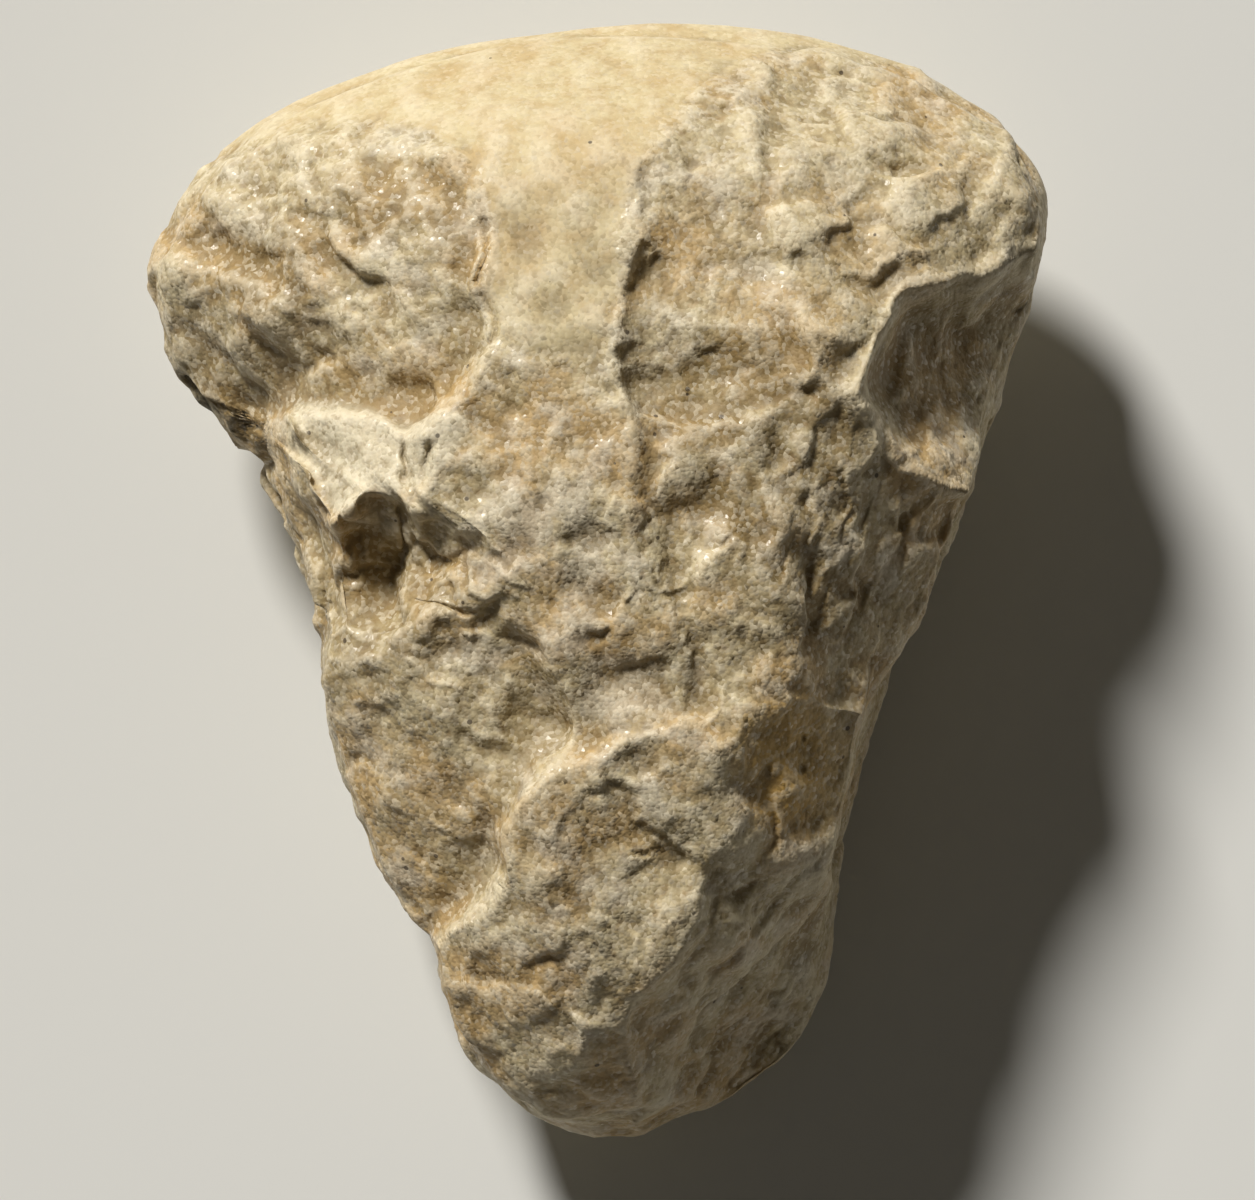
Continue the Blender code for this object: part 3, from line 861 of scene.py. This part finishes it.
def neighbour_average(mesh, values, rounds):
    """Each point's place averaged with its neighbours', over and over."""
    edges = np.zeros(len(mesh.edges) * 2, np.int64)
    mesh.edges.foreach_get("vertices", edges)
    a, b = edges.reshape(-1, 2).T
    count = np.bincount(a, minlength=len(values)) + np.bincount(b, minlength=len(values))
    for _ in range(rounds):
        total = np.column_stack([
            np.bincount(a, v[b], len(v)) + np.bincount(b, v[a], len(v)) for v in values.T
        ])
        values = 0.5 * values + 0.5 * total / count[:, None]
    return values


def store(mesh, name, values):
    """Keeps one number per point of the mesh under a name."""
    attribute = mesh.attributes.new(name, "FLOAT", "POINT")
    attribute.data.foreach_set("value", np.asarray(values, np.float32))


def hollow(mesh, places, normals, rounds, full_mm):
    """From -1 on a ridge to 1 in a hollow."""
    beside = neighbour_average(mesh, places, rounds)
    return np.clip(np.sum((beside - places) * normals, axis=1) / (full_mm * MM), -1, 1)


mesh = stone.data
places = np.array([vertex.co for vertex in mesh.vertices])
normals = np.array([vertex.normal for vertex in mesh.vertices])
x, y, z = places.T
rim_there = rim_height(np.arctan2(y, x))
store(mesh, "cortex", cortex_share(x, y, z, rim_there))
for name, (border_mm, outlines) in AREAS.items():
    store(mesh, name, np.max([inside_area(outline, x, y, border_mm) for outline in outlines], axis=0))
store(mesh, "fine_hollow", hollow(mesh, places, normals, FINE_ROUNDS, FINE_HOLLOW_MM))
store(mesh, "coarse_hollow", hollow(mesh, places, normals, COARSE_ROUNDS, COARSE_HOLLOW_MM))
stored = [a.name for a in mesh.attributes if a.data_type == "FLOAT"]
print("stored:", ", ".join(stored))

# %% [markdown]
# ## Colours and nodes
# Colours are written as sRGB hex values, the way a paint program shows them, and one function
# turns them to the linear numbers that a shader needs. Another one adds a node, with its settings
# and links.

# %% Tools for materials
def linear(hex_colour):
    """An sRGB hex colour as linear red, green, blue and alpha."""
    parts = [int(hex_colour[i:i + 2], 16) / 255 for i in (1, 3, 5)]
    return [c / 12.92 if c <= 0.04045 else ((c + 0.055) / 1.055) ** 2.4 for c in parts] + [1]


def add(tree, kind, inputs=None, **settings):
    """Adds a node with its settings. An input is given a value, a socket, or a node to link to."""
    node = tree.nodes.new(kind)
    for name, value in settings.items():
        setattr(node, name, value)
    for key, value in (inputs or {}).items():
        if isinstance(value, bpy.types.Node):
            value = value.outputs[0]
        if isinstance(value, bpy.types.NodeSocket):
            tree.links.new(value, node.inputs[key])
        else:
            node.inputs[key].default_value = value
    return node


print(f"mid grey #808080 is {linear('#808080')[0]:.3f} in linear light")

# %% [markdown]
# ## The stone's patterns
# Up close quartzite is a crowd of grains, and further off it is mottled and stained. Soft noises
# of real sizes give the mottling. The real grains are 0.2 to 0.4 mm. They are drawn at 0.42 mm,
# about four pixels of the full picture, and the noise among them twice as coarse, so that both
# show. The pores are where single grains fell out; the mesh has no holes there, so they are dark
# specks of painted shade. The worn cortex shows half of the grain.

# %% The stone's patterns
GRAIN_MM = 0.42
PORE_SPACING_MM, PORE_SIZE_MM = 3.0, 0.3
FROSTED_ADDS = 0.12
GLINT_FROM, GLINT_FULL = 0.88, 0.92
CORTEX_GRAIN = 0.5

# Name: size in mm, how much finer noise it holds, how strong that is, and how far off it is taken.
NOISES = {
    "stains": (9, 3, 0.5, 0),
    "frost": (4.5, 4, 0.6, 0.9),
    "mottle": (2.4, 3, 0.6, 0.3),
    "flecks": (1.1, 2, 0.6, 0.5),
    "grain": (2.2 * GRAIN_MM, 2, 0.55, 0.7),
}


def add_grains(tree, place):
    """Adds the grains and the pores. Every grain has a lean and three numbers of its own."""
    grains, pores = (
        add(tree, "ShaderNodeTexVoronoi", {"Vector": place, "Scale": 1 / (size_mm * MM)}).outputs
        for size_mm in (GRAIN_MM, PORE_SPACING_MM)
    )
    numbers = add(tree, "ShaderNodeSeparateColor", {0: grains["Color"]}).outputs
    pore = add(tree, "ShaderNodeSeparateColor", {0: pores["Color"]})
    share = PORE_SIZE_MM / PORE_SPACING_MM
    size = add(tree, "ShaderNodeMath", {0: pore, 1: share}, operation="MULTIPLY")
    inside = add(tree, "ShaderNodeMath", {0: size, 1: pores["Distance"]}, operation="SUBTRACT")
    return {
        "off_middle": grains["Distance"], "lean": grains["Color"], "in_pore": inside,
        "number_1": numbers[0], "number_2": numbers[1], "number_3": numbers[2],
    }


def add_patterns(tree):
    """Adds all that the colours and the shine are mixed from. Returns it by name."""
    place = add(tree, "ShaderNodeTexCoord").outputs["Object"]
    found = add_grains(tree, place)
    for name in stored:
        found[name] = add(tree, "ShaderNodeAttribute", attribute_name=name).outputs["Fac"]
    for name, (size_mm, detail, roughness, shift) in NOISES.items():
        moved = add(tree, "ShaderNodeVectorMath", {0: place, 1: (shift, shift, shift)})
        noise_inputs = {
            "Vector": moved, "Scale": 1 / (size_mm * MM), "Detail": detail, "Roughness": roughness,
        }
        found[name] = add(tree, "ShaderNodeTexNoise", noise_inputs)
    frost = {0: found["frosted"], 1: FROSTED_ADDS, 2: found["frost"]}
    found["frost_here"] = add(tree, "ShaderNodeMath", frost, operation="MULTIPLY_ADD")
    sugary = {"Value": found["cortex"], "To Min": 1, "To Max": CORTEX_GRAIN}
    found["sugary"] = add(tree, "ShaderNodeMapRange", sugary, interpolation_type="SMOOTHSTEP")
    turned_up = {"Value": found["number_1"], "From Min": GLINT_FROM, "From Max": GLINT_FULL}
    turned_up = add(tree, "ShaderNodeMapRange", turned_up, interpolation_type="SMOOTHSTEP")
    glint = {0: turned_up, 1: found["sugary"]}
    found["glint"] = add(tree, "ShaderNodeMath", glint, operation="MULTIPLY")
    return found


print(f"{len(NOISES)} noises, and grains of {GRAIN_MM} mm")

# %% [markdown]
# ## The stone's colours
# A clean break is pale cream to grey. Time in the soil stained it with iron, so ochre gathers in
# patches. Light and shade are painted in as well: the hollows and pores darker, the iron stain
# darker still and the bowl and the spur's foot dark brown as painted shade, with some dirt in the
# bowl, and the ridges paler and a few grains whitish as painted highlights. The cortex is yellower
# and more even. Each colour is laid over the ones before it like a thin wash: its share follows a
# pattern, and some washes stay inside one area.

# %% Washes of colour
class Wash(NamedTuple):
    """A colour that covers the least share where its pattern is at its first value, the most at
    its last, and where an area is named nothing outside it."""

    colour: str
    pattern: str
    first: float
    last: float
    least: float
    most: float
    area: str = ""


BREAK_COLOUR, CORTEX_COLOUR = "#ae9d76", "#cabb94"
BREAK_WASHES = [
    Wash("#cabd9b", "mottle", 0.3, 0.7, 0, 1),
    Wash("#b6935a", "stains", 0.42, 0.62, 0, 0.65),
    # Partly painted shade: the iron stain is made darker than the stain alone, as shade on the right
    # flank.
    Wash("#7e693e", "mottle", 0.75, 0.3, 0.2125, 0.85, "iron_stain_and_shade"),
    Wash("#97794c", "flecks", 0.56, 0.72, 0, 0.45),
    Wash("#d0c9ba", "frost_here", 0.5, 0.66, 0, 0.45),
    Wash("#b9ab86", "shoulder", 0, 1, 0.3, 0.3, "shoulder"),
    # Painted shade: dark brown over the bowl's lower left and the spur's foot, with some dirt in the
    # bowl.
    Wash("#7f6a3f", "frost", 0.4, 0.6, 0.3, 0.75, "painted_shade_and_dirt"),
    Wash("#cfc6ac", "spur", 0, 1, 0.85, 0.85, "spur"),
    Wash("#c09a4c", "quartz_patch", 0, 1, 0.8, 0.8, "quartz_patch"),
]
CORTEX_WASHES = [
    Wash("#bca77c", "mottle", 0.4, 0.7, 0, 1),
    Wash("#b89b68", "stains", 0.45, 0.7, 0, 0.5),
]
SHADE_GLINT_AND_GRAIN_WASHES = [
    # Painted shade in the hollows, coarse and fine.
    Wash("#85703f", "coarse_hollow", 0.1, 0.9, 0, 0.28),
    Wash("#665230", "fine_hollow", 0.15, 0.9, 0, 0.35),
    # Painted light: the ridges paler.
    Wash("#e6dcc4", "fine_hollow", -0.2, -0.9, 0, 0.3),
    Wash("#86703f", "number_2", 0.4, 0, 0, 0.3, "sugary"),
    Wash("#e8dec6", "number_3", 0.6, 0.9, 0, 0.32, "sugary"),
    Wash("#86693c", "grain", 0.5, 0.3, 0, 0.25, "sugary"),
    # Painted shade: dark specks stand for pores that the mesh doesn't have.
    Wash("#3b2e20", "in_pore", 0, 0.02, 0, 0.8),
    # Painted highlight: a pale colour on the grains that glint.
    Wash("#f4eede", "glint", 0, 1, 0.15, 0.15, "glint"),
]
# The places of the Mix node's colour sockets.
MIX_FACTOR, MIX_A, MIX_B, MIX_COLOUR = 0, 6, 7, 2


def lay_over(tree, found, colour, washes):
    """Lays a list of washes over a colour. Returns the last one's socket."""
    for wash in washes:
        share = {
            "Value": found[wash.pattern], "From Min": wash.first, "From Max": wash.last,
            "To Min": wash.least, "To Max": wash.most,
        }
        share = add(tree, "ShaderNodeMapRange", share, interpolation_type="SMOOTHSTEP")
        if wash.area:
            share = add(tree, "ShaderNodeMath", {0: share, 1: found[wash.area]}, operation="MULTIPLY")
        mixed = {MIX_FACTOR: share, MIX_A: colour, MIX_B: linear(wash.colour)}
        colour = add(tree, "ShaderNodeMix", mixed, data_type="RGBA").outputs[MIX_COLOUR]
    return colour


print(f"{len(BREAK_WASHES)} washes on the break, {len(CORTEX_WASHES)} on the cortex")

# %% [markdown]
# ## The grain in the light
# Each sliced grain is a tiny flat mirror that leans its own way, and the joints between grains lie
# a little lower. Both are too small for the mesh, so they only bend the shading normal.

# %% Normals of the grain
GRAIN_TILT = 0.24
GRAIN_BUMP_MM, GRAIN_BUMP_STRENGTH = 0.16, 0.65
JOINTS_LOWER, GRAIN_UNEVEN = -0.5, 1.2


def add_grain_normal(tree, found):
    """Adds the bent normal of the grain. Returns its socket."""
    low = add(tree, "ShaderNodeMath", {0: found["grain"], 1: GRAIN_UNEVEN}, operation="MULTIPLY")
    height = {0: found["off_middle"], 1: JOINTS_LOWER, 2: low}
    height = add(tree, "ShaderNodeMath", height, operation="MULTIPLY_ADD")
    height = add(tree, "ShaderNodeMath", {0: height, 1: found["sugary"]}, operation="MULTIPLY")
    lean = add(tree, "ShaderNodeVectorMath", {0: found["lean"], 1: (-0.5, -0.5, -0.5)})
    lean = add(tree, "ShaderNodeVectorMath", {0: lean, "Scale": GRAIN_TILT}, operation="SCALE")
    facing = add(tree, "ShaderNodeNewGeometry").outputs["Normal"]
    leaning = add(tree, "ShaderNodeVectorMath", {0: facing, 1: lean})
    bump = {
        "Strength": GRAIN_BUMP_STRENGTH, "Distance": GRAIN_BUMP_MM * MM, "Height": height,
        "Normal": add(tree, "ShaderNodeVectorMath", {0: leaning}, operation="NORMALIZE"),
    }
    return add(tree, "ShaderNodeBump", bump).outputs["Normal"]


print(f"the grain's bump stands for {GRAIN_BUMP_MM} mm")

# %% [markdown]
# ## Quartzite
# The stone is quartzite, split by blows and weathered in the soil. A dry break scatters nearly all
# its light, so at a roughness of 0.7 the eye sees a dull, sandy stone, and a few grains at 0.38
# glint in it. The index of refraction is quartz's. Light goes about a millimetre into the grains,
# which softens the shadows between them.

# %% Weathered quartzite
QUARTZ_IOR = 1.54
BREAK_ROUGHNESS, GLINT_ROUGHNESS = 0.7, 0.38
LIGHT_GOES_IN, LIGHT_GOES_IN_MM = 0.12, 0.9
LIGHT_GOES_IN_BY_COLOUR = (1.0, 0.85, 0.65)


def quartzite():
    """One material for the whole stone: the break, the cortex, their stains and their grain."""
    material = bpy.data.materials.new("weathered_quartzite")
    material.use_nodes = True
    tree = material.node_tree
    found = add_patterns(tree)
    both = {
        MIX_FACTOR: found["cortex"],
        MIX_A: lay_over(tree, found, linear(BREAK_COLOUR), BREAK_WASHES),
        MIX_B: lay_over(tree, found, linear(CORTEX_COLOUR), CORTEX_WASHES),
    }
    colour = add(tree, "ShaderNodeMix", both, data_type="RGBA").outputs[MIX_COLOUR]
    colour = lay_over(tree, found, colour, SHADE_GLINT_AND_GRAIN_WASHES)
    shine = {"Value": found["glint"], "To Min": BREAK_ROUGHNESS, "To Max": GLINT_ROUGHNESS}
    shine = add(tree, "ShaderNodeMapRange", shine, interpolation_type="SMOOTHSTEP")
    shader = tree.nodes["Principled BSDF"]
    shader.inputs["IOR"].default_value = QUARTZ_IOR
    shader.inputs["Subsurface Weight"].default_value = LIGHT_GOES_IN
    shader.inputs["Subsurface Radius"].default_value = LIGHT_GOES_IN_BY_COLOUR
    shader.inputs["Subsurface Scale"].default_value = LIGHT_GOES_IN_MM * MM
    tree.links.new(colour, shader.inputs["Base Color"])
    tree.links.new(shine.outputs["Result"], shader.inputs["Roughness"])
    tree.links.new(add_grain_normal(tree, found), shader.inputs["Normal"])
    return material


mesh.materials.clear()
mesh.materials.append(quartzite())
print("the stone's material has", len(mesh.materials[0].node_tree.nodes), "nodes")

# %% [markdown]
# ## The floor and the light
# The stone lies on a plain pale floor of matt card. Card has no gloss, so the eye sees nothing on
# it but the stone's soft shadow. One lamp stands beyond the butt, to the left and under forty
# degrees up, so that ledges throw short shadows. A pale, slightly warm sky fills the shadows.

# %% The floor and the light
FLOOR_HALF = 1.5
CARD_COLOUR, CARD_ROUGHNESS = "#d9dad8", 0.9
LAMP_COLOUR, SKY_COLOUR = "#fffbf4", "#f3ead9"
LAMP_DIRECTION = (-0.38, 0.72, 0.61)
LAMP_STRENGTH = 4.4
LAMP_ANGLE_DEG = 12
SKY_STRENGTH = 0.07

floor_mesh = bpy.data.meshes.new("floor")
corners = [(x * FLOOR_HALF, y * FLOOR_HALF, 0) for x, y in ((-1, -1), (1, -1), (1, 1), (-1, 1))]
floor_mesh.from_pydata(corners, [], [(0, 1, 2, 3)])
floor = bpy.data.objects.new("floor", floor_mesh)
bpy.context.scene.collection.objects.link(floor)
floor_material = bpy.data.materials.new("pale_matt_card")
floor_material.use_nodes = True
floor_shader = floor_material.node_tree.nodes["Principled BSDF"]
floor_shader.inputs["Base Color"].default_value = linear(CARD_COLOUR)
floor_shader.inputs["Roughness"].default_value = CARD_ROUGHNESS
floor_mesh.materials.append(floor_material)

lamp_data = bpy.data.lights.new("lamp", "SUN")
lamp_data.energy = LAMP_STRENGTH
lamp_data.angle = math.radians(LAMP_ANGLE_DEG)
lamp_data.color = linear(LAMP_COLOUR)[:3]
lamp = bpy.data.objects.new("lamp", lamp_data)
bpy.context.scene.collection.objects.link(lamp)
lamp.rotation_mode = "QUATERNION"
lamp.rotation_quaternion = Vector(LAMP_DIRECTION).to_track_quat("Z", "Y")

sky = bpy.data.worlds.new("sky")
sky.use_nodes = True
sky.node_tree.nodes["Background"].inputs["Color"].default_value = linear(SKY_COLOUR)
sky.node_tree.nodes["Background"].inputs["Strength"].default_value = SKY_STRENGTH
bpy.context.scene.world = sky
bpy.context.scene.view_settings.view_transform = "Standard"
print(f"the lamp is {math.degrees(math.asin(Vector(LAMP_DIRECTION).normalized().z)):.0f} degrees up")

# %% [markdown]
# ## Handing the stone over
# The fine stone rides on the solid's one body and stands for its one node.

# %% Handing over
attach(stone, "root")
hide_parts("pebble_axe")
